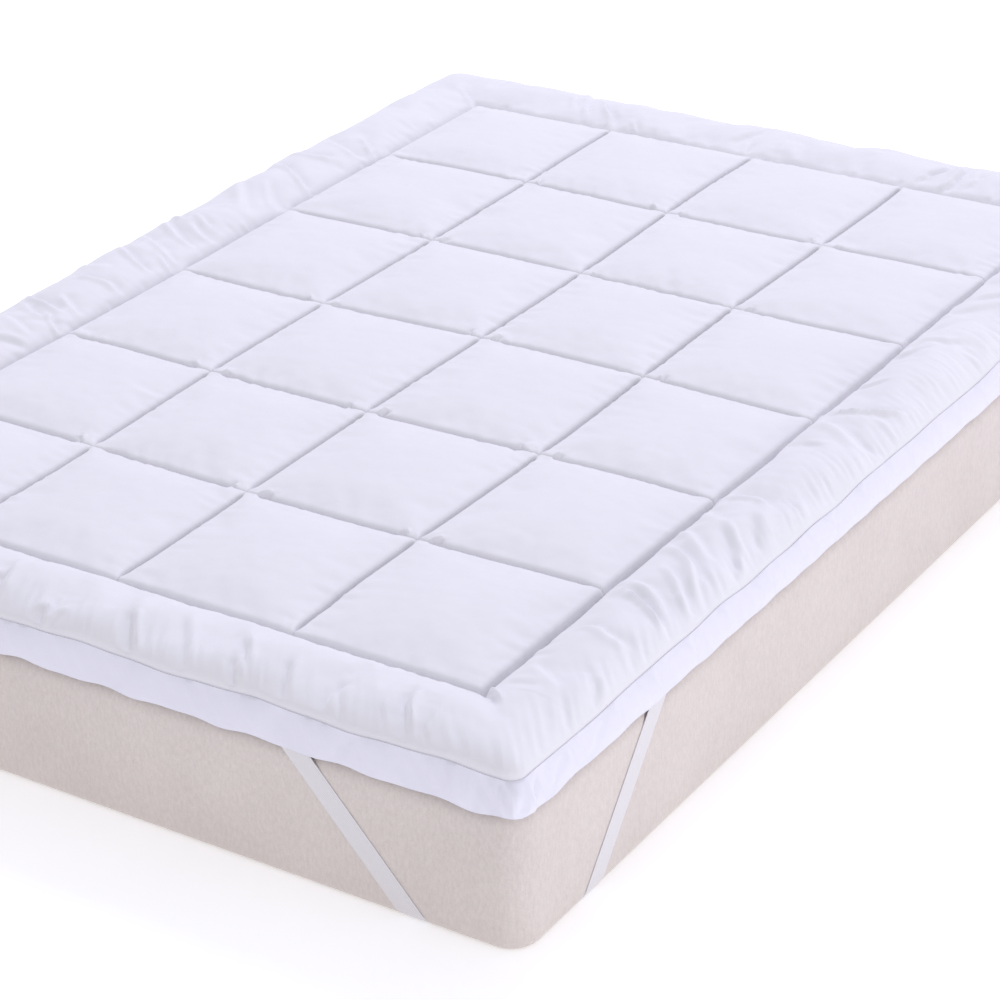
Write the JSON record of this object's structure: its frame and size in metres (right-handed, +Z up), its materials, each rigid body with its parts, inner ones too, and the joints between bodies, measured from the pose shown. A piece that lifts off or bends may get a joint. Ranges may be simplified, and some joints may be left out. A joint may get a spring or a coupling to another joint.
{
  "type": "quilted mattress topper on a mattress",
  "caption": "Filled bed topper with stitched squares inside a puffed border, a gusset round its sides and elastic corner straps, lying on a plain rectangular mattress.",
  "frame": {"origin": "middle of the mattress's underside, on the surface that it lies on", "axes": "+X across the bed, +Y along the bed, +Z up"},
  "size_m": [1.3546, 1.9046, 0.2642],
  "materials": {
    "quilted_cover": "fine plain-woven cotton, cool white, soft and matt",
    "gusset_cloth": "the same cool white cotton, lying flat",
    "elastic": "ribbed woven elastic, off-white",
    "mattress_cloth": "brushed knitted upholstery cloth, warm beige melange"
  },
  "bodies": {
    "root": {"quilted_pad": "quilted_cover", "gusset": "gusset_cloth", "strap_front_right": "elastic", "strap_front_left": "elastic", "strap_back_right": "elastic", "strap_back_left": "elastic", "mattress": "mattress_cloth"}
  },
  "joints": []
}
